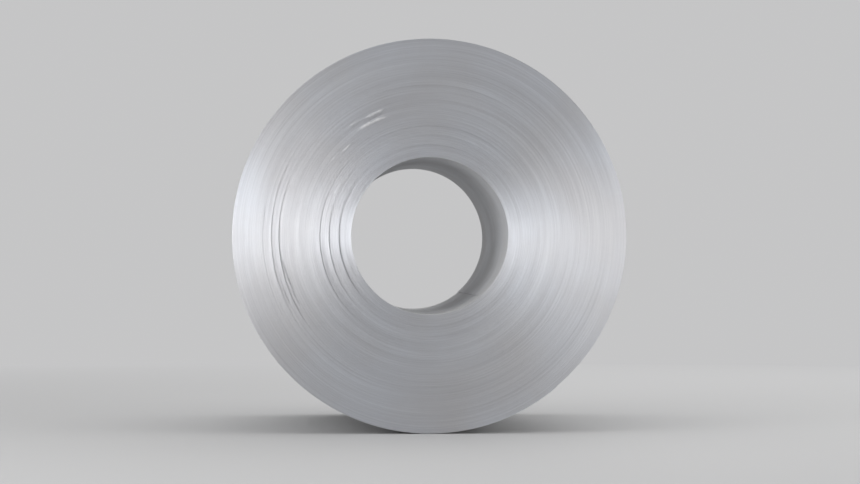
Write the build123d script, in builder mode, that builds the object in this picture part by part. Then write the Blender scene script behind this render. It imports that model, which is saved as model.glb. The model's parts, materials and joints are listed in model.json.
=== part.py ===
"""A coil of steel strip lying on its side, held shut by three steel straps.

One long strip is wound turn on turn round an open bore. The strip's two edges make the round ends of the
coil, and they aren't quite flush there: whole groups of turns slipped a few millimetres along the axis as
the coil was wound. A turn keeps its width, so what stands proud of one end is sunk in at the other.

Frame: +Z is up, the coil's axis runs along Y and its front end faces -Y. The origin is on the floor, under
the middle of the coil. Units are millimetres.
"""

from build123d import *
from math import cos, degrees, radians, sin
import os

# Strip and winding
BORE_DIAMETER = 508.0
STRIP_WIDTH = 1250.0
STRIP_THICKNESS = 2.0

# How many turns there are in each group, from the bore outwards
GROUP_TURNS = (8, 10, 2, 9, 6, 1, 7, 7, 1, 7, 25, 8, 14, 11, 1, 6, 5, 1, 5, 8, 1, 30, 20)

# How far each group slipped along +Y. At the front a negative slip stands proud and a positive one is sunk in.
GROUP_SLIPS = (
    -2.0, 0.0, 3.0, -1.5, 0.0, 2.0, -3.0, 0.0, 3.0, -2.0, 0.0, -1.0,
    0.0, 0.5, 3.0, -3.0, 0.0, 2.0, -2.0, 0.0, 1.5, 0.0, -0.5,
)

# Fine grooves between turns, in the groups that are wide enough to show them
TURNS_PER_GROOVE = 5
GROOVE_WIDTH = 0.8
GROOVE_DEPTH = 1.0

# Straps round the outside, each with its end lapped over its start
STRAP_WIDTH = 32.0
STRAP_THICKNESS = 0.9
STRAP_LAP = 150.0
STRAP_TO_END = 210.0

# The seal that is crimped over each lap, with its place round the coil in degrees from the top towards +X
SEAL_LENGTH = 57.0
SEAL_WALL = 1.2
SEAL_CLEARANCE = 0.3
SEAL_ANGLE = 30.0

# What follows from the sizes above
bore_radius = BORE_DIAMETER / 2
total_turns = sum(GROUP_TURNS)
coil_radius = bore_radius + total_turns * STRIP_THICKNESS
strap_radius = coil_radius + STRAP_THICKNESS
lap_radius = strap_radius + STRAP_THICKNESS
axis_height = strap_radius
coil_axis = Axis((0, 0, axis_height), (0, 1, 0))
end_strap_y = STRIP_WIDTH / 2 - STRAP_TO_END
strap_places = {"front": -end_strap_y, "middle": 0.0, "rear": end_strap_y}


def section_plane(angle):
    """A plane through the coil's axis, turned that many degrees from the top towards +X.

    On it, X is the place along the coil's axis and Y is the distance from the axis.
    """
    turned = radians(angle)
    return Plane(origin=(0, 0, axis_height), x_dir=(0, 1, 0), z_dir=(cos(turned), 0, -sin(turned)))


def end_outline(end_y, inwards):
    """The section of one end, as (y, radius) points from the bore outwards.

    inwards is 1 where the steel lies towards +Y of this end, and -1 where it lies towards -Y.
    """
    outline = []
    radius = bore_radius
    for turns, slip in zip(GROUP_TURNS, GROUP_SLIPS, strict=True):
        y = end_y + slip
        outline.append((y, radius))
        for turn in range(TURNS_PER_GROOVE, turns, TURNS_PER_GROOVE):
            groove_radius = radius + turn * STRIP_THICKNESS
            outline.append((y, groove_radius - GROOVE_WIDTH / 2))
            outline.append((y + inwards * GROOVE_DEPTH, groove_radius))
            outline.append((y, groove_radius + GROOVE_WIDTH / 2))
        radius += turns * STRIP_THICKNESS
        outline.append((y, radius))
    return outline


def ring_section(y, width, inner_radius, outer_radius, mode=Mode.ADD):
    """A rectangle on a section plane, centred on y, from one radius to another."""
    with Locations((y, (inner_radius + outer_radius) / 2)):
        Rectangle(width, outer_radius - inner_radius, mode=mode)


def make_coil():
    """The wound strip as one turned solid, with its bore and the rings that its turns make on both ends."""
    front = end_outline(-STRIP_WIDTH / 2, 1)
    rear = end_outline(STRIP_WIDTH / 2, -1)
    with BuildPart() as coil:
        with BuildSketch(section_plane(0)):
            with BuildLine():
                Polyline(front + rear[::-1], close=True)
            make_face()
        revolve(axis=coil_axis)
    coil.part.label = "steel_coil"
    return coil.part


def make_strap(place, y):
    """A strap drawn tight round the coil, two layers thick where it laps over itself."""
    lap_sweep = degrees(STRAP_LAP / strap_radius)
    with BuildPart() as strap:
        with BuildSketch(section_plane(0)):
            ring_section(y, STRAP_WIDTH, coil_radius, strap_radius)
        revolve(axis=coil_axis)
        with BuildSketch(section_plane(SEAL_ANGLE - lap_sweep / 2)):
            ring_section(y, STRAP_WIDTH, strap_radius, lap_radius)
        revolve(axis=coil_axis, revolution_arc=lap_sweep)
    strap.part.label = f"strap_{place}"
    return strap.part


def make_seal(place, y):
    """The channel of thick sheet that is closed over a strap's lap, its two walls down on the coil."""
    channel_width = STRAP_WIDTH + 2 * SEAL_CLEARANCE
    channel_radius = lap_radius + SEAL_CLEARANCE
    seal_sweep = degrees(SEAL_LENGTH / strap_radius)
    with BuildPart() as seal:
        with BuildSketch(section_plane(SEAL_ANGLE - seal_sweep / 2)):
            ring_section(y, channel_width + 2 * SEAL_WALL, coil_radius, channel_radius + SEAL_WALL)
            ring_section(y, channel_width, coil_radius, channel_radius, mode=Mode.SUBTRACT)
        revolve(axis=coil_axis, revolution_arc=seal_sweep)
    seal.part.label = f"seal_{place}"
    return seal.part


pieces = [make_coil()]
for place, y in strap_places.items():
    pieces.append(make_strap(place, y))
    pieces.append(make_seal(place, y))

os.makedirs("parts", exist_ok=True)
for piece in pieces:
    export_step(piece, f"parts/{piece.label}.step")
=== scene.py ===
"""The steel coil's looks: the strip's own turns on both ends, its outside and bore, the straps and the seals.

Sizes are in metres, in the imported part's frame: +Z up, the coil's axis along Y, its front end facing -Y.
An angle round the coil is counted from the top towards +X. The picture is 860 x 484 pixels.
"""

import json
import math

import bmesh
import bpy
import numpy as np
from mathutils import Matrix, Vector


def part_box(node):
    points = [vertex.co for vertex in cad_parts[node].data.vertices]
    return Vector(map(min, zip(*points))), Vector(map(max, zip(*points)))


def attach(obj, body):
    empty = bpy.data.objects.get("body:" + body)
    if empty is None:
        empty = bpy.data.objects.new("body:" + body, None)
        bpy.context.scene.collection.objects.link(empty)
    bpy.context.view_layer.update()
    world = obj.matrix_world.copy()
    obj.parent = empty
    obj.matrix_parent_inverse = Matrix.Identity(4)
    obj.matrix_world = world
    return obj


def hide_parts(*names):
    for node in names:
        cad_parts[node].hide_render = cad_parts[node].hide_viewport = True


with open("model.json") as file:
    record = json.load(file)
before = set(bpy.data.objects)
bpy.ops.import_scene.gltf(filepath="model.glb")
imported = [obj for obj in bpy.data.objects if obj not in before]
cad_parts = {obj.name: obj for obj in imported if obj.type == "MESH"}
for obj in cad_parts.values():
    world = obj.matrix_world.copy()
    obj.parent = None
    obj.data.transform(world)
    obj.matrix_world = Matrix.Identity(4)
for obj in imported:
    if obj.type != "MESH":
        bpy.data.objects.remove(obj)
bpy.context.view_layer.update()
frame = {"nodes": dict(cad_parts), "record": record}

FRONT, REAR = -1, 1
FULL_TURN = 2 * math.pi
RANDOM_SEED = 7

# The coil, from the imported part
bore = next(mount for mount in frame["record"]["mounts"] if mount["name"] == "bore")
BORE_RADIUS = bore["dims"]["r_mm"] / 1000
STRIP_WIDTH = bore["dims"]["length_mm"] / 1000
AXIS_HEIGHT = bore["pos_m"][2]
STRIP_THICKNESS = 0.002
coil_low, coil_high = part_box("steel_coil")
TURNS = round(((coil_high.x - coil_low.x) / 2 - BORE_RADIUS) / STRIP_THICKNESS)
COIL_RADIUS = BORE_RADIUS + TURNS * STRIP_THICKNESS

# The spiral: the strip starts in the bore and ends outside at one angle, winding outwards against the clock.
# Each turn is made in so many steps.
STRIP_END_ANGLE = math.radians(140)
STEPS = 160
LAST_STEP = (TURNS - 1) * STEPS

# The strip's edge across its thickness: rolled over on its inner side, with a burr on its outer side
EDGE_ROUND_INNER = 0.00035
EDGE_ROUND_OUTER = 0.00030
GROOVE_DEPTH = 0.0004

# How deep the end pieces reach into the coil, and how many rows of points the piece between them has
END_PIECE_DEPTH = 0.012
OUTSIDE_ROWS = 60

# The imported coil's groups of turns slip this far at most. A smaller change than the second isn't a new group.
MOST_SLIP = 0.003
LEAST_CHANGE = 0.0001

# In turns, how early or late the strip goes over to the next group, and the least and most that this takes
GROUP_LATE = 0.08
GROUP_CHANGE = (0.05, 0.16)

# The rings on the ends stand out most round this angle, and fade away from it to a share of their height.
# The angle sways a little from one stretch of turns to the next.
RINGS_CLEAREST_AT = math.radians(-101)
RINGS_CLEAR_OVER = math.radians(22)
RINGS_FADE_TO = 0.22
RINGS_SWAY = math.radians(6)
RINGS_SWAY_TURNS = 9.0

# How the strip wanders from its place: how many turns lie between two new heights, and how far those go
WANDERS = ((3.3, 0.00022), (0.71, 0.00010), (0.23, 0.00004))

# Where knocks have bent the front end's edges: angle in degrees, radius, how far the radius drifts over the
# mark's length, length round the coil, breadth, and how far the edges stand proud, or are sunk in if negative
EDGE_MARKS = (
    (-26.6, 0.4120, -0.0030, 0.092, 0.0085, 0.0028),
    (-24.8, 0.4235, 0.0030, 0.060, 0.0055, -0.0013),
    (-24.6, 0.4350, 0.0020, 0.056, 0.0075, 0.0022),
    (-34.6, 0.4310, 0.0000, 0.028, 0.0055, -0.0012),
    (-34.2, 0.4400, 0.0000, 0.030, 0.0065, 0.0016),
    (-43.8, 0.3920, 0.0030, 0.036, 0.0065, 0.0016),
    (-50.0, 0.4000, 0.0000, 0.032, 0.0060, 0.0012),
    (-62.0, 0.2910, 0.0000, 0.022, 0.0040, -0.0014),
    (-105.5, 0.4790, 0.0080, 0.115, 0.0055, -0.0017),
    (-114.5, 0.4775, 0.0020, 0.052, 0.0055, -0.0016),
    (-112.5, 0.5035, 0.0020, 0.048, 0.0055, -0.0014),
)

# Along a mark the bend comes and goes in beads this long, by a share of its height
EDGE_MARK_BEAD = 0.050
EDGE_MARK_BEADING = 0.35

# Each strap is one band: its end climbs over its own start and lies on it under the seal. A row of points
# beside each rounded edge keeps its broad faces flat.
STRAP_WIDTH = 0.032
STRAP_THICKNESS = 0.0009
STRAP_LAP = 0.150
STRAP_LAP_GAP = 0.00005
STRAP_EDGE_ROUND = 0.0002
STRAP_EDGE_LOOP = 0.0006

# How many points a strap has along it, with more where it is notched and where it lifts up to a step, and how
# far before the strip's end and before its own start those last ones begin
STRAP_POINTS = 300
STRAP_SEAL_POINTS = 58
STRAP_LIFT_POINTS = 12
LIFT_TO_STRIP_END = 0.055
LIFT_TO_STRAP_START = 0.040

# The seal, and the two pairs of notches that are crimped into its sides and the strap's
SEAL_ANGLE = math.radians(30)
SEAL_LENGTH = 0.057
SEAL_WALL = 0.0012
SEAL_CLEARANCE = 0.0003
SEAL_CORNER = 0.0016
SEAL_POINTS = 77
SEAL_CORNER_POINTS = 5
CRIMP_FROM_MIDDLE = 0.014
CRIMP_LENGTH = 0.010
CRIMP_DEPTH = 0.0026

# Edges that turn by more than this many degrees look sharp, on the coil and on the straps and seals
COIL_SHARP_ANGLE = 30
STRAP_SHARP_ANGLE = 50

# An end's flat map: the face from v = 0 upwards, the rims in the bore and outside from the face to the cut
# behind it, and the two small faces where the strip starts and ends
FACE_ON_MAP = 0.90
BORE_RIM_ON_MAP = (0.91, 0.94)
OUTSIDE_RIM_ON_MAP = (0.99, 0.96)
STRIP_START_ON_MAP = (
    (0.010, 0.998), (0.012, 0.999), (0.018, 0.999), (0.020, 0.998), (0.020, 0.993), (0.010, 0.993),
)
SMALL_FACES_APART = 0.03
STRIP_END_ON_MAP = tuple((u + SMALL_FACES_APART, v) for u, v in STRIP_START_ON_MAP)

# The flat map of the piece between the ends: each surface with the step in it, and the two cuts, by their v
BORE_ON_MAP, BORE_STEP_ON_MAP = (0.66, 0.94), (0.950, 0.955)
OUTSIDE_ON_MAP, OUTSIDE_STEP_ON_MAP = (0.01, 0.64), (0.960, 0.965)
FRONT_CUT_ON_MAP, REAR_CUT_ON_MAP = (0.970, 0.980), (0.985, 0.995)

# The flat map of a strap or seal lies in rows. Its sides fill this share of a row, both ways, and the rest of
# the last row holds the two end faces, each within a small circle.
STRAP_MAP_ROWS = 8
SIDES_ON_MAP = 0.94
MAP_MARGIN = 0.03
END_FACE_ON_MAP = 0.02
END_FACE_FROM_MIDDLE = 0.1

# The photograph's viewpoint, from the middle of the front end, and how far below the middle it is aimed
CAMERA_LEFT = 0.483
CAMERA_BELOW = 0.08
CAMERA_DISTANCE = 9.57
CAMERA_AIMED_BELOW = 0.02
CAMERA_SEES_TO = 300
PICTURE_WIDTH_PX = 860
COIL_HEIGHT_PX = 396
SENSOR_WIDTH_MM = 36.0

# The floor and the surround
SURROUND_COLOUR = (0.56, 0.56, 0.565, 1)
FLOOR_COLOUR = (0.46, 0.46, 0.46, 1)
FLOOR_ROUGHNESS = 0.8
FLOOR_RADIUS = 80
FLOOR_CORNERS = 96
FLOOR_FADES_FROM = 1.6
FLOOR_FADES_TO = 6.0

# The lamps: name, place, width, height, watts, and over how many degrees the light spreads
LAMPS = (
    ("left", (-3.1, -3.9, 0.8), 4.6, 1.5, 34, 90),
    ("high_left", (-4.2, -4.2, 3.1), 4.4, 3.0, 60, 180),
    ("right", (7.6, -2.4, 2.3), 7.0, 4.4, 170, 180),
    ("rear", (4.0, 7.4, 2.2), 9.0, 4.4, 230, 180),
    ("top", (0.0, 0.0, 7.0), 10.0, 10.0, 230, 180),
)

# Nearly all of a noise lies between these
NOISE_LOW, NOISE_HIGH = 0.35, 0.65

rng = np.random.default_rng(RANDOM_SEED)


def ease(x):
    """0 below 0, 1 above 1, and a smooth climb between them."""
    x = np.clip(x, 0, 1)
    return x * x * (3 - 2 * x)


def wander(wound, spacing, height):
    """A smooth random curve along the winding, with a new height every so many turns."""
    place = wound / spacing
    before = np.floor(place).astype(int)
    heights = rng.uniform(-height, height, before.max() + 2)
    blend = ease(place - before)
    return heights[before] * (1 - blend) + heights[before + 1] * blend


def on_coil(angle, radius, y):
    """Points round the coil's axis, as an array of x, y and z."""
    x = radius * np.sin(angle)
    z = AXIS_HEIGHT + radius * np.cos(angle)
    return np.stack(np.broadcast_arrays(x, y, z), axis=-1)


def on_map(u, v):
    """Places on a flat map, as an array of u and v."""
    return np.stack(np.broadcast_arrays(u, v), axis=-1).astype(float)


def turned_from(angle, middle):
    """How far an angle is from another, from half a turn back to half a turn on."""
    return np.mod(angle - middle + math.pi, FULL_TURN) - math.pi


def outside_radius(angle):
    """The radius of the coil's outside, which steps down by one thickness just past the strip's end."""
    past_end = np.mod(STRIP_END_ANGLE - angle, FULL_TURN) / FULL_TURN
    return COIL_RADIUS - STRIP_THICKNESS * (1 - past_end)


def turn_slips():
    """How far along +Y each turn has slipped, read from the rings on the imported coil's front end."""
    coil = frame["nodes"]["steel_coil"]
    slips = []
    for turn in range(TURNS):
        radius = BORE_RADIUS + (turn + 0.5) * STRIP_THICKNESS
        before_end = Vector((0, -STRIP_WIDTH, AXIS_HEIGHT + radius))
        on_end = coil.ray_cast(before_end, Vector((0, 1, 0)))[1]
        slips.append(on_end.y + STRIP_WIDTH / 2)
    return slips


def edge_marks(angle, radius):
    """How far knocks have bent the strip's front edge outwards along the axis, in beads along each mark."""
    bend = np.zeros_like(radius)
    for degrees, mark_radius, drift, length, breadth, height in EDGE_MARKS:
        arc = turned_from(angle, math.radians(degrees)) * mark_radius
        along = arc / length
        across = (radius - mark_radius - drift * along) / (breadth / 2)
        beads = 1 - EDGE_MARK_BEADING + EDGE_MARK_BEADING * np.sin(math.pi * arc / EDGE_MARK_BEAD)**2
        bend += height * beads * np.exp(-(2 * along)**4) * np.exp(-across**2)
    return bend


def strip_slip(wound):
    """The strip's slip along +Y: it eases from one group of turns to the next, and wanders a little."""
    slips = turn_slips()
    slip = np.full_like(wound, slips[0])
    for turn in range(1, TURNS):
        change = slips[turn] - slips[turn - 1]
        if abs(change) > LEAST_CHANGE:
            late = rng.uniform(-GROUP_LATE, GROUP_LATE)
            length = rng.uniform(*GROUP_CHANGE)
            slip += change * ease((wound - turn - late) / length + 0.5)
    angle = STRIP_END_ANGLE - FULL_TURN * wound
    sway = wander(wound, RINGS_SWAY_TURNS, RINGS_SWAY)
    clear = np.exp(-(turned_from(angle, RINGS_CLEAREST_AT + sway) / RINGS_CLEAR_OVER)**2)
    slip *= RINGS_FADE_TO + (1 - RINGS_FADE_TO) * clear
    for spacing, height in WANDERS:
        slip += wander(wound, spacing, height)
    return slip


class Shell:
    """A closed mesh in the making: its points, and its faces with each corner's place on a flat map.

    Along the flat map's first direction a piece may go round more than once, and each face is brought back to
    the first round.
    """

    def __init__(self):
        self.points, self.count = [], 0
        self.faces, self.corners, self.materials = [], [], []

    def row(self, points):
        """Adds points and returns their numbers."""
        self.points.append(points)
        self.count += len(points)
        return np.arange(self.count - len(points), self.count)

    def face(self, numbers, corners, material=0):
        """Adds one face of any number of corners."""
        self.faces.append([int(number) for number in numbers])
        self.corners.append(np.array(corners, dtype=float))
        self.materials.append(material)

    def band(self, first, second, first_map, second_map, material=0):
        """Adds quads between two rows of points of the same length."""
        numbers = np.stack([first[:-1], first[1:], second[1:], second[:-1]], axis=1)
        corners = np.stack([first_map[:-1], first_map[1:], second_map[1:], second_map[:-1]], axis=1)
        corners[:, :, 0] -= np.floor(corners[:, :, 0].mean(axis=1, keepdims=True))
        self.faces += numbers.tolist()
        self.corners.append(corners.reshape(-1, 2))
        self.materials += [material] * len(numbers)

    def washer(self, inner, outer, inner_v, outer_v, material=0):
        """Adds the flat ring between two rounds of a spiral, whose ends lie on one line out from the axis.

        The inner round's last point is on the side of the first face, and the outer round's first point on
        the side of the last face.
        """
        u = np.linspace(0, 1, len(inner))
        inner_map, outer_map = on_map(u, inner_v), on_map(u, outer_v)
        middle = slice(1, -1)
        self.band(inner[middle], outer[middle], inner_map[middle], outer_map[middle], material)
        quarter = (outer_v - inner_v) / 4
        self.face(
            [inner[0], inner[1], outer[1], outer[0], inner[-1]],
            [inner_map[0], inner_map[1], outer_map[1], outer_map[0], (u[0], inner_v + quarter)], material,
        )
        self.face(
            [inner[-2], inner[-1], outer[0], outer[-1], outer[-2]],
            [inner_map[-2], inner_map[-1], (u[-1], outer_v - quarter), outer_map[-1], outer_map[-2]], material,
        )

    def piece(self, name, materials, sharp_angle):
        """The mesh object, with its faces turned outwards, which rides on the part's only body."""
        mesh = bpy.data.meshes.new(name)
        mesh.from_pydata(np.concatenate(self.points), [], self.faces)
        for material in materials:
            mesh.materials.append(material)
        mesh.polygons.foreach_set("material_index", self.materials)
        flat_map = mesh.uv_layers.new(name="OFBake")
        flat_map.data.foreach_set("uv", np.concatenate(self.corners).ravel())
        shape = bmesh.new()
        shape.from_mesh(mesh)
        bmesh.ops.recalc_face_normals(shape, faces=shape.faces)
        shape.to_mesh(mesh)
        shape.free()
        mesh.shade_smooth()
        mesh.set_sharp_from_angle(angle=math.radians(sharp_angle))
        piece = bpy.data.objects.new(name, mesh)
        bpy.context.scene.collection.objects.link(piece)
        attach(piece, "root")
        return piece


def groove_slips(side, near_slip, far_slip):
    """The slip of each groove between turns: that of the edge beside it which lies deeper in the coil."""
    deeper = np.maximum if side == FRONT else np.minimum
    slip = np.concatenate([near_slip[:STEPS], far_slip])
    slip[STEPS:LAST_STEP + 1] = deeper(near_slip[STEPS:], far_slip[:-STEPS])
    return slip


def close_end(shell, groove, near, far, bore_cut, outside_cut, material):
    """Adds an end's rims in the bore and outside, its flat back, and the faces where the strip starts and ends."""
    once = np.linspace(0, 1, STEPS + 1)
    bore_v, bore_cut_v = BORE_RIM_ON_MAP
    outside_v, outside_cut_v = OUTSIDE_RIM_ON_MAP
    shell.band(groove[:STEPS + 1], bore_cut, on_map(once, bore_v), on_map(once, bore_cut_v), material)
    shell.band(groove[LAST_STEP:], outside_cut, on_map(once, outside_v), on_map(once, outside_cut_v), material)
    shell.washer(bore_cut, outside_cut, bore_cut_v, outside_cut_v, material)
    strip_start = [groove[0], near[0], far[0], groove[STEPS], bore_cut[-1], bore_cut[0]]
    shell.face(strip_start, STRIP_START_ON_MAP, material)
    strip_end = [groove[LAST_STEP], near[-1], far[-1], groove[-1], outside_cut[-1], outside_cut[0]]
    shell.face(strip_end, STRIP_END_ON_MAP, material)


def make_end_turns(name, side, edge_steel, sheet_steel, slip):
    """One end of the coil: the edge of every turn, as one spiral from the bore to the outside.

    Each turn has a near edge towards the bore and a far edge, with a groove on either side that it shares
    with the next turn.
    """
    step = np.arange(LAST_STEP + STEPS + 1)
    angle = STRIP_END_ANGLE - FULL_TURN * step / STEPS
    groove_radius = BORE_RADIUS + STRIP_THICKNESS * step / STEPS
    strip, bore_turn = slice(0, LAST_STEP + 1), slice(0, STEPS + 1)
    outside_turn, next_turns = slice(LAST_STEP, None), slice(STEPS, None)

    near_radius = groove_radius[strip] + EDGE_ROUND_INNER
    far_radius = groove_radius[strip] + STRIP_THICKNESS - EDGE_ROUND_OUTER
    near_bend, far_bend = (
        edge_marks(angle[strip], radius) if side == FRONT else np.zeros_like(radius)
        for radius in (near_radius, far_radius)
    )
    near_slip, far_slip = (np.clip(slip - bend, -MOST_SLIP, MOST_SLIP) for bend in (near_bend, far_bend))
    groove_slip = groove_slips(side, near_slip, far_slip)

    face_y = side * STRIP_WIDTH / 2
    cut_y = face_y - side * END_PIECE_DEPTH
    shell = Shell()
    groove = shell.row(on_coil(angle, groove_radius, face_y + groove_slip - side * GROOVE_DEPTH))
    near = shell.row(on_coil(angle[strip], near_radius, face_y + near_slip))
    far = shell.row(on_coil(angle[strip], far_radius, face_y + far_slip))
    bore_cut = shell.row(on_coil(angle[bore_turn], groove_radius[bore_turn], cut_y))
    outside_cut = shell.row(on_coil(angle[outside_turn], groove_radius[outside_turn], cut_y))

    rounds = step[strip] / STEPS
    map_scale = FACE_ON_MAP / (COIL_RADIUS - BORE_RADIUS)
    groove_map, near_map, far_map, next_groove_map = (
        on_map(rounds, (radius - BORE_RADIUS) * map_scale)
        for radius in (groove_radius[strip], near_radius, far_radius, groove_radius[next_turns])
    )
    shell.band(groove[strip], near, groove_map, near_map)
    shell.band(near, far, near_map, far_map)
    shell.band(far, groove[next_turns], far_map, next_groove_map)
    close_end(shell, groove, near, far, bore_cut, outside_cut, material=1)

    piece = shell.piece(name, [edge_steel, sheet_steel], COIL_SHARP_ANGLE)
    attributes = {"bent": (near_bend, far_bend), "proud": (side * near_slip, side * far_slip)}
    for attribute, (at_near, at_far) in attributes.items():
        values = np.zeros(shell.count)
        values[near], values[far] = at_near, at_far
        piece.data.attributes.new(attribute, "FLOAT", "POINT").data.foreach_set("value", values)
    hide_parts("steel_coil")


def make_outside(sheet_steel):
    """The surfaces of the outermost turn and of the bore, with a step where the strip ends and starts."""
    along = np.linspace(0, 1, OUTSIDE_ROWS)
    y = (along - 0.5) * (STRIP_WIDTH - 2 * END_PIECE_DEPTH)
    once = np.linspace(0, 1, STEPS + 1)
    angle = STRIP_END_ANGLE - FULL_TURN * once
    shell = Shell()
    surfaces = []
    for radius, (low_v, high_v), (step_low_v, step_high_v) in (
        (BORE_RADIUS, BORE_ON_MAP, BORE_STEP_ON_MAP),
        (COIL_RADIUS - STRIP_THICKNESS, OUTSIDE_ON_MAP, OUTSIDE_STEP_ON_MAP),
    ):
        rows = [shell.row(on_coil(angle, radius + STRIP_THICKNESS * once, place)) for place in y]
        v = low_v + (high_v - low_v) * along
        for number in range(OUTSIDE_ROWS - 1):
            first, second = rows[number:number + 2]
            shell.band(first, second, on_map(once, v[number]), on_map(once, v[number + 1]))
            front, rear = along[number:number + 2]
            step_map = [(front, step_low_v), (rear, step_low_v), (rear, step_high_v), (front, step_high_v)]
            shell.face([first[0], second[0], second[-1], first[-1]], step_map)
        surfaces.append(rows)
    bore_rows, outside_rows = surfaces
    shell.washer(bore_rows[0], outside_rows[0], *FRONT_CUT_ON_MAP)
    shell.washer(bore_rows[-1], outside_rows[-1], *REAR_CUT_ON_MAP)
    piece = shell.piece("coil_outside", [sheet_steel], COIL_SHARP_ANGLE)
    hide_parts("steel_coil")


def taut_lift(ahead, step):
    """How far a taut band stands off the round coil on its way to a step up that is so far ahead."""
    reach = math.sqrt(2 * COIL_RADIUS * step)
    return np.clip(reach - ahead, 0, None)**2 / (2 * COIL_RADIUS)


def crimps(along):
    """1 in the middle of each notch along the seal, and 0 away from them."""
    from_notch = np.abs(np.abs(along) - CRIMP_FROM_MIDDLE) / (CRIMP_LENGTH / 2)
    return ease(1 - from_notch)


def extrude(name, sections, map_rows, material, node):
    """A closed piece through sections with the same number of points, its flat map in so many rows."""
    length, count = sections.shape[:2]
    shell = Shell()
    lines = [shell.row(sections[:, point]) for point in range(count)]
    u = (np.arange(length) + 0.5) / length * map_rows
    row = np.clip(np.floor((u[:-1] + u[1:]) / 2), 0, map_rows - 1)
    outline = np.append(sections[0], sections[0, :1], axis=0)
    sides = np.linalg.norm(np.diff(outline, axis=0), axis=1)
    v = np.append(0, np.cumsum(sides)) / sides.sum() * SIDES_ON_MAP
    for point in range(count):
        first, second = lines[point], lines[(point + 1) % count]
        shell.band(first, second, on_map(u, v[point]), on_map(u, v[point + 1]))
        corners = shell.corners[-1].reshape(-1, 4, 2)
        corners[:, :, 0] = MAP_MARGIN + SIDES_ON_MAP * corners[:, :, 0]
        corners[:, :, 1] = (row[:, None] + corners[:, :, 1]) / map_rows
    for end, way in ((0, 1), (-1, -1)):
        numbers = [line[end] for line in lines][::way]
        around = np.linspace(0, FULL_TURN, count, endpoint=False)[::way]
        end_u = 0.5 + END_FACE_FROM_MIDDLE * way + END_FACE_ON_MAP * np.cos(around)
        end_v = (map_rows - MAP_MARGIN + END_FACE_ON_MAP * np.sin(around)) / map_rows
        shell.face(numbers, on_map(end_u, end_v))
    piece = shell.piece(name, [material], STRAP_SHARP_ANGLE)
    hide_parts(node)


def strap_angles(start, end, strap_radius):
    """Where a strap has its points, closer together at the seal and where it lifts up to a step."""
    along_seal = np.linspace(-SEAL_LENGTH / 2, SEAL_LENGTH / 2, STRAP_SEAL_POINTS)
    at_seal = along_seal / strap_radius + SEAL_ANGLE
    to_strip_end = np.linspace(0, LIFT_TO_STRIP_END, STRAP_LIFT_POINTS)
    to_strap_start = np.linspace(0, LIFT_TO_STRAP_START, STRAP_LIFT_POINTS)
    return np.unique(np.concatenate([
        np.linspace(start, end, STRAP_POINTS),
        at_seal,
        at_seal + FULL_TURN,
        STRIP_END_ANGLE - to_strip_end / strap_radius,
        start + FULL_TURN - to_strap_start / strap_radius,
    ]))


def make_strap(place, strap_steel):
    """One taut band round the coil: over the step at the strip's end, then up and over its own start."""
    node = f"strap_{place}"
    low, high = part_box(node)
    middle_y = (low.y + high.y) / 2
    strap_radius = COIL_RADIUS + STRAP_THICKNESS
    start = SEAL_ANGLE - STRAP_LAP / 2 / strap_radius
    end = start + FULL_TURN + STRAP_LAP / strap_radius
    angle = strap_angles(start, end, strap_radius)

    to_strip_end = np.mod(STRIP_END_ANGLE - angle, FULL_TURN) * strap_radius
    to_start = (start + FULL_TURN - angle) * strap_radius
    onto_start = STRAP_THICKNESS + STRAP_LAP_GAP
    climb = np.where(to_start > 0, taut_lift(to_start, onto_start), onto_start)
    under = outside_radius(angle) + taut_lift(to_strip_end, STRIP_THICKNESS) + climb
    half = STRAP_WIDTH / 2 - CRIMP_DEPTH * crimps(turned_from(angle, SEAL_ANGLE) * strap_radius)

    edge, loop, thick = STRAP_EDGE_ROUND, STRAP_EDGE_LOOP, STRAP_THICKNESS
    below = [(edge, 0), (loop, 0)]
    rising = [(0, edge), (0, thick - edge), (edge, thick), (loop, thick)]
    sections = []
    for side, points in ((-1, below[::-1] + rising), (1, rising[::-1] + below)):
        for inwards, up in points:
            sections.append(on_coil(angle, under + up, middle_y + side * (half - inwards)))
    sections = np.stack(sections, axis=1)
    extrude(f"{node}_band", sections, STRAP_MAP_ROWS, strap_steel, node)


def channel_half(width, top, corner):
    """One side of a channel's section, from its foot up and round the corner: half its width, and height."""
    bend = np.linspace(0, math.pi / 2, SEAL_CORNER_POINTS)
    points = [(width, 0), (width, (top - corner) / 2)]
    points += [(width - corner * (1 - np.cos(turn)), top - corner * (1 - np.sin(turn))) for turn in bend]
    return points + [(width - 2 * corner, top)]


def make_seal(place, seal_steel):
    """The channel over the strap's lap, with two notches crimped into each side."""
    node = f"seal_{place}"
    low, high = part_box(node)
    middle_y = (low.y + high.y) / 2
    along = np.linspace(-SEAL_LENGTH / 2, SEAL_LENGTH / 2, SEAL_POINTS)
    angle = SEAL_ANGLE + along / (COIL_RADIUS + STRAP_THICKNESS)
    under = outside_radius(angle)
    inner_half = STRAP_WIDTH / 2 + SEAL_CLEARANCE - CRIMP_DEPTH * crimps(along)
    inner_top = 2 * STRAP_THICKNESS + SEAL_CLEARANCE
    outside = channel_half(inner_half + SEAL_WALL, inner_top + SEAL_WALL, SEAL_CORNER)
    inside = channel_half(inner_half, inner_top, SEAL_CORNER - SEAL_WALL)
    sections = []
    for side, points in ((-1, outside), (1, outside[::-1]), (1, inside), (-1, inside[::-1])):
        for half, up in points:
            sections.append(on_coil(angle, under + up, middle_y + side * half))
    extrude(f"{node}_channel", np.stack(sections, axis=1), 1, seal_steel, node)


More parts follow.
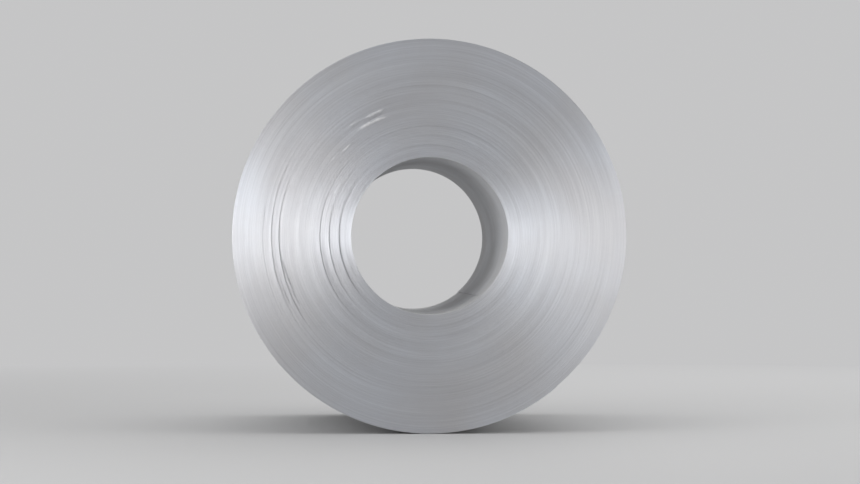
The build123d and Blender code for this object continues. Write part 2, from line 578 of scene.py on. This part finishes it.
class Nodes:
    """A material's node tree, with short calls for the nodes that this script uses."""

    def __init__(self, name):
        self.material = bpy.data.materials.new(name)
        self.material.use_nodes = True
        self.tree = self.material.node_tree
        self.shader = self.tree.nodes["Principled BSDF"]
        self.place = self.add("ShaderNodeTexCoord").outputs["Object"]

    def add(self, kind, **settings):
        """A new node with these settings."""
        node = self.tree.nodes.new(kind)
        for setting, value in settings.items():
            setattr(node, setting, value)
        return node

    def feed(self, socket, value):
        """Links a socket to another node's, or sets it to a value."""
        if isinstance(value, bpy.types.NodeSocket):
            self.tree.links.new(value, socket)
        else:
            socket.default_value = value

    def math(self, operation, first, second=0.0):
        """One sum of one or two values."""
        node = self.add("ShaderNodeMath", operation=operation)
        self.feed(node.inputs[0], first)
        self.feed(node.inputs[1], second)
        return node.outputs[0]

    def span(self, value, from_low, from_high, to_low, to_high):
        """value stretched from one range to another, and held at its ends."""
        node = self.add("ShaderNodeMapRange", clamp=True)
        for socket, number in zip(node.inputs, (value, from_low, from_high, to_low, to_high)):
            self.feed(socket, number)
        return node.outputs[0]

    def mix(self, share, first, second):
        """The first colour, with a share of the second in it."""
        node = self.add("ShaderNodeMix", data_type="RGBA")
        self.feed(node.inputs["Factor"], share)
        self.feed(node.inputs["A"], first)
        self.feed(node.inputs["B"], second)
        return node.outputs["Result"]

    def tint(self, first, second, value, share=1.0, low=NOISE_LOW, high=NOISE_HIGH):
        """The first colour, with more of the second in it as a value goes from low to high."""
        return self.mix(self.span(value, low, high, 0.0, share), first, second)

    def attribute(self, name):
        """What the mesh keeps at its points under this name."""
        return self.add("ShaderNodeAttribute", attribute_name=name).outputs["Fac"]

    def noise(self, vector, scale, detail, roughness=0.5):
        """A random pattern that changes so many times per metre."""
        node = self.add("ShaderNodeTexNoise")
        self.feed(node.inputs["Vector"], vector)
        self.feed(node.inputs["Scale"], scale)
        self.feed(node.inputs["Detail"], detail)
        self.feed(node.inputs["Roughness"], roughness)
        return node.outputs["Fac"]

    def find_axis(self):
        """Keeps sockets for y, for the radius from the coil's axis and for the direction away from it."""
        split = self.add("ShaderNodeSeparateXYZ")
        self.feed(split.inputs[0], self.place)
        x, self.y, z = split.outputs
        up = self.math("SUBTRACT", z, AXIS_HEIGHT)
        squares = self.math("ADD", self.math("MULTIPLY", x, x), self.math("MULTIPLY", up, up))
        self.radius = self.math("SQRT", squares)
        self.sideways = self.math("DIVIDE", x, self.radius)
        self.upwards = self.math("DIVIDE", up, self.radius)

    def streaks(self, across, per_metre, detail, around=1.0):
        """A noise in streaks round the axis, which changes fast across them and slowly along them."""
        direction = self.add("ShaderNodeCombineXYZ")
        for socket, value, scale in zip(
            direction.inputs, (self.sideways, across, self.upwards), (around, per_metre, around),
        ):
            self.feed(socket, self.math("MULTIPLY", value, scale))
        return self.noise(direction.outputs[0], 1.0, detail)

    def turn_gaps(self):
        """1 on the lines between turns of the strip, and 0 away from them."""
        angle = self.math("ARCTAN2", self.sideways, self.upwards)
        wound = self.math("DIVIDE", self.math("SUBTRACT", self.radius, BORE_RADIUS), STRIP_THICKNESS)
        wound = self.math("ADD", wound, self.math("DIVIDE", angle, FULL_TURN))
        wound = self.math("SUBTRACT", wound, STRIP_END_ANGLE / FULL_TURN)
        from_middle = self.math("ABSOLUTE", self.math("SUBTRACT", self.math("FRACT", wound), 0.5))
        return self.span(from_middle, 0.40, 0.5, 0.0, 1.0)

    def metal(self, colour, roughness):
        """Makes the surface bare metal."""
        self.feed(self.shader.inputs["Base Color"], colour)
        self.shader.inputs["Metallic"].default_value = 1.0
        self.feed(self.shader.inputs["Roughness"], roughness)

    def brushed_round_axis(self, anisotropy):
        """Stretches highlights across lines that run round the coil's axis, a quarter turn from the tangent."""
        self.shader.inputs["Anisotropic"].default_value = anisotropy
        self.shader.inputs["Anisotropic Rotation"].default_value = 0.25
        tangent = self.add("ShaderNodeTangent", direction_type="RADIAL", axis="Y")
        self.feed(self.shader.inputs["Tangent"], tangent.outputs["Tangent"])

    def bump(self, height, distance, strength=1.0):
        """Makes the surface look as uneven as this height."""
        node = self.add("ShaderNodeBump")
        node.inputs["Strength"].default_value = strength
        node.inputs["Distance"].default_value = distance
        self.feed(node.inputs["Height"], height)
        self.feed(self.shader.inputs["Normal"], node.outputs["Normal"])


def make_edge_steel():
    """The slit edges of the strip: bright steel that changes from turn to turn, dark in the gaps.

    Proud rings are paler, partly burnished and partly a painted highlight, and sunk ones darker, partly oil and
    dirt and partly painted shade. Edges that are bent out are burnished bright in scuffs and carry a painted
    highlight, edges knocked in carry painted shade, and the gaps between turns are darkened, partly oil and partly
    painted shade.
    """
    nodes = Nodes("edge_steel")
    nodes.find_axis()
    fine_rings = nodes.streaks(nodes.radius, 420, detail=1)
    broad_rings = nodes.streaks(nodes.radius, 45, detail=3)
    blotches = nodes.noise(nodes.place, 3, detail=4)
    cool_steel, warm_steel = (0.70, 0.72, 0.76, 1), (0.66, 0.66, 0.675, 1)
    dull_ring, dark_ring = (0.48, 0.48, 0.51, 1), (0.42, 0.42, 0.44, 1)
    colour = nodes.tint(cool_steel, warm_steel, blotches)
    colour = nodes.tint(colour, dull_ring, broad_rings, share=0.22)
    colour = nodes.tint(colour, dark_ring, fine_rings, share=0.26, high=0.7)

    # Painted highlight and shade by ring height: proud rings paler, partly burnished and partly painted highlight;
    # sunk rings darker, partly oil and dirt and partly painted shade
    proud = nodes.attribute("proud")
    flush = 0.0004
    proud_ring_wear_and_highlight, sunk_ring_dirt_and_shade = (0.85, 0.86, 0.89, 1), (0.22, 0.22, 0.225, 1)
    colour = nodes.tint(colour, proud_ring_wear_and_highlight, proud, share=0.25, low=flush, high=MOST_SLIP)
    colour = nodes.tint(colour, sunk_ring_dirt_and_shade, proud, share=0.3, low=-flush, high=-MOST_SLIP)

    # Edges bent out are burnished and also carry a painted highlight, which lowers the roughness too; edges bent
    # in carry painted shade
    scuffs = nodes.span(nodes.streaks(nodes.radius, 620, detail=2, around=60), 0.36, 0.60, 0.15, 1.6)
    bent = nodes.math("MULTIPLY", nodes.attribute("bent"), scuffs)
    hardly_bent, well_bent = 0.0003, 0.0016
    rubbed_and_highlit = nodes.span(bent, hardly_bent, well_bent, 0.0, 1.0)
    rubbed_steel_highlight, dent_shade = (0.94, 0.94, 0.95, 1), (0.20, 0.20, 0.205, 1)
    colour = nodes.mix(rubbed_and_highlit, colour, rubbed_steel_highlight)
    colour = nodes.tint(colour, dent_shade, bent, share=0.6, low=-hardly_bent, high=-well_bent)

    # The gaps between turns are darkened, partly oil and dirt and partly painted shade
    gap = nodes.turn_gaps()
    gap_oil_and_shade = (0.12, 0.115, 0.11, 1)
    colour = nodes.mix(nodes.math("MULTIPLY", gap, 0.55), colour, gap_oil_and_shade)
    roughness = nodes.span(fine_rings, 0.3, 0.7, 0.52, 0.62)
    roughness = nodes.math("ADD", roughness, nodes.math("MULTIPLY", gap, 0.2))
    roughness = nodes.math("SUBTRACT", roughness, nodes.math("MULTIPLY", rubbed_and_highlit, 0.2))
    nodes.metal(colour, roughness)
    nodes.brushed_round_axis(0.86)
    grain = nodes.noise(nodes.place, 2600, detail=2)
    nodes.bump(grain, distance=0.00006, strength=0.5)
    return nodes.material


def make_sheet_steel():
    """The strip's broad faces: cold-rolled, with fine lines along the strip and a thin film of oil."""
    nodes = Nodes("sheet_steel")
    nodes.find_axis()
    lines = nodes.streaks(nodes.y, 700, detail=3, around=1.6)
    bands = nodes.streaks(nodes.y, 26, detail=3, around=1.6)
    waves = nodes.streaks(nodes.y, 5, detail=1, around=1.6)
    film = nodes.noise(nodes.place, 2.2, detail=5, roughness=0.6)
    clean_steel, oiled_steel = (0.60, 0.61, 0.63, 1), (0.52, 0.52, 0.525, 1)
    dull_band, dark_line = (0.47, 0.47, 0.48, 1), (0.45, 0.45, 0.46, 1)
    colour = nodes.tint(clean_steel, oiled_steel, film, low=0.38, high=0.62)
    colour = nodes.tint(colour, dull_band, bands, share=0.18)
    colour = nodes.tint(colour, dark_line, lines, share=0.15)

    from_middle = nodes.math("ABSOLUTE", nodes.y)
    strip_edge, worn_breadth = STRIP_WIDTH / 2, 0.03
    worn_edge = (0.40, 0.39, 0.38, 1)
    colour = nodes.tint(
        colour, worn_edge, from_middle, share=0.15, low=strip_edge - worn_breadth, high=strip_edge,
    )

    roughness = nodes.span(film, NOISE_LOW, NOISE_HIGH, 0.55, 0.64)
    roughness = nodes.math("ADD", roughness, nodes.span(lines, 0.3, 0.7, 0.0, 0.06))
    nodes.metal(colour, roughness)
    nodes.brushed_round_axis(0.55)
    wave_height = 40.0
    height = nodes.math("ADD", nodes.math("MULTIPLY", waves, wave_height), lines)
    nodes.bump(height, distance=0.00002)
    return nodes.material


def make_strap_steel():
    """Blued and waxed strapping, scuffed bare in places."""
    nodes = Nodes("strap_steel")
    nodes.find_axis()
    mottle = nodes.span(nodes.noise(nodes.place, 38, detail=4), NOISE_LOW, NOISE_HIGH, 0.0, 1.0)
    scuffs = nodes.streaks(nodes.y, 840, detail=4, around=14)
    dark_blue, pale_blue = (0.045, 0.052, 0.068, 1), (0.075, 0.082, 0.098, 1)
    bare_steel = (0.34, 0.34, 0.35, 1)
    blued = nodes.mix(mottle, dark_blue, pale_blue)
    colour = nodes.tint(blued, bare_steel, scuffs, share=0.6, low=0.60, high=0.72)
    nodes.metal(colour, nodes.span(mottle, 0.0, 1.0, 0.32, 0.46))
    nodes.brushed_round_axis(0.3)
    nodes.bump(mottle, distance=0.0002, strength=0.4)
    return nodes.material


def make_seal_steel():
    """Zinc-plated sheet, dull and slightly mottled."""
    nodes = Nodes("seal_steel")
    mottle = nodes.noise(nodes.place, 160, detail=4)
    scratches = nodes.noise(nodes.place, 900, detail=2)
    dark_zinc, pale_zinc = (0.22, 0.23, 0.25, 1), (0.31, 0.32, 0.34, 1)
    nodes.metal(nodes.tint(dark_zinc, pale_zinc, mottle), nodes.span(mottle, 0.3, 0.7, 0.34, 0.5))
    nodes.bump(scratches, distance=0.00005, strength=0.5)
    return nodes.material


def make_floor():
    """A plain pale floor that turns into the colour of the surround a few metres from the coil."""
    nodes = Nodes("floor")
    nodes.shader.inputs["Base Color"].default_value = FLOOR_COLOUR
    nodes.shader.inputs["Roughness"].default_value = FLOOR_ROUGHNESS
    distance = nodes.add("ShaderNodeVectorMath", operation="LENGTH")
    nodes.feed(distance.inputs[0], nodes.place)
    far = nodes.span(distance.outputs["Value"], FLOOR_FADES_FROM, FLOOR_FADES_TO, 0.0, 1.0)
    rays = nodes.add("ShaderNodeLightPath").outputs
    seen = nodes.math("ADD", rays["Is Camera Ray"], rays["Is Glossy Ray"])
    seen = nodes.math("MINIMUM", nodes.math("ADD", seen, rays["Is Transmission Ray"]), 1.0)
    surround = nodes.add("ShaderNodeEmission")
    surround.inputs["Color"].default_value = SURROUND_COLOUR
    blend = nodes.add("ShaderNodeMixShader")
    nodes.feed(blend.inputs[0], nodes.math("MULTIPLY", far, seen))
    nodes.feed(blend.inputs[1], nodes.shader.outputs[0])
    nodes.feed(blend.inputs[2], surround.outputs[0])
    nodes.feed(nodes.tree.nodes["Material Output"].inputs["Surface"], blend.outputs[0])
    bpy.ops.mesh.primitive_circle_add(vertices=FLOOR_CORNERS, radius=FLOOR_RADIUS, fill_type="NGON")
    floor = bpy.context.object
    floor.name = "floor"
    floor.data.materials.append(nodes.material)


def make_world():
    """A plain pale surround that lights the coil evenly."""
    world = bpy.data.worlds.new("surround")
    world.use_nodes = True
    background = world.node_tree.nodes["Background"]
    background.inputs["Color"].default_value = SURROUND_COLOUR
    bpy.context.scene.world = world


def stand(name, data, place, target):
    """Stands a lamp or camera at a place, turned to a target."""
    thing = bpy.data.objects.new(name, data)
    bpy.context.scene.collection.objects.link(thing)
    thing.location = place
    thing.rotation_euler = (Vector(target) - Vector(place)).to_track_quat("-Z", "Y").to_euler()
    return thing


def add_lamp(name, place, width, height, watts, spread):
    """A large soft lamp that is turned to the middle of the coil."""
    light = bpy.data.lights.new(name, "AREA")
    light.shape = "RECTANGLE"
    light.size = width
    light.size_y = height
    light.energy = watts
    light.spread = math.radians(spread)
    stand(name, light, place, target=(0, 0, AXIS_HEIGHT))


def add_camera():
    """The photograph's viewpoint, with a longer lens that brings the coil nearer."""
    scale_px = COIL_HEIGHT_PX / (2 * COIL_RADIUS)
    camera = bpy.data.cameras.new("camera")
    camera.sensor_width = SENSOR_WIDTH_MM
    camera.lens = SENSOR_WIDTH_MM * scale_px * CAMERA_DISTANCE / PICTURE_WIDTH_PX
    camera.clip_end = CAMERA_SEES_TO
    end_y = -STRIP_WIDTH / 2
    place = (-CAMERA_LEFT, end_y - CAMERA_DISTANCE, AXIS_HEIGHT - CAMERA_BELOW)
    target = (0, end_y, AXIS_HEIGHT - CAMERA_AIMED_BELOW)
    bpy.context.scene.camera = stand("camera", camera, place, target)


edge_steel = make_edge_steel()
sheet_steel = make_sheet_steel()
strap_steel = make_strap_steel()
seal_steel = make_seal_steel()

slip = strip_slip(np.arange(LAST_STEP + 1) / STEPS)
make_end_turns("coil_front_turns", FRONT, edge_steel, sheet_steel, slip)
make_end_turns("coil_rear_turns", REAR, edge_steel, sheet_steel, slip)
make_outside(sheet_steel)

for place in ("front", "middle", "rear"):
    make_strap(place, strap_steel)
    make_seal(place, seal_steel)

make_floor()
make_world()
for lamp in LAMPS:
    add_lamp(*lamp)
add_camera()
bpy.context.scene.view_settings.view_transform = "Standard"
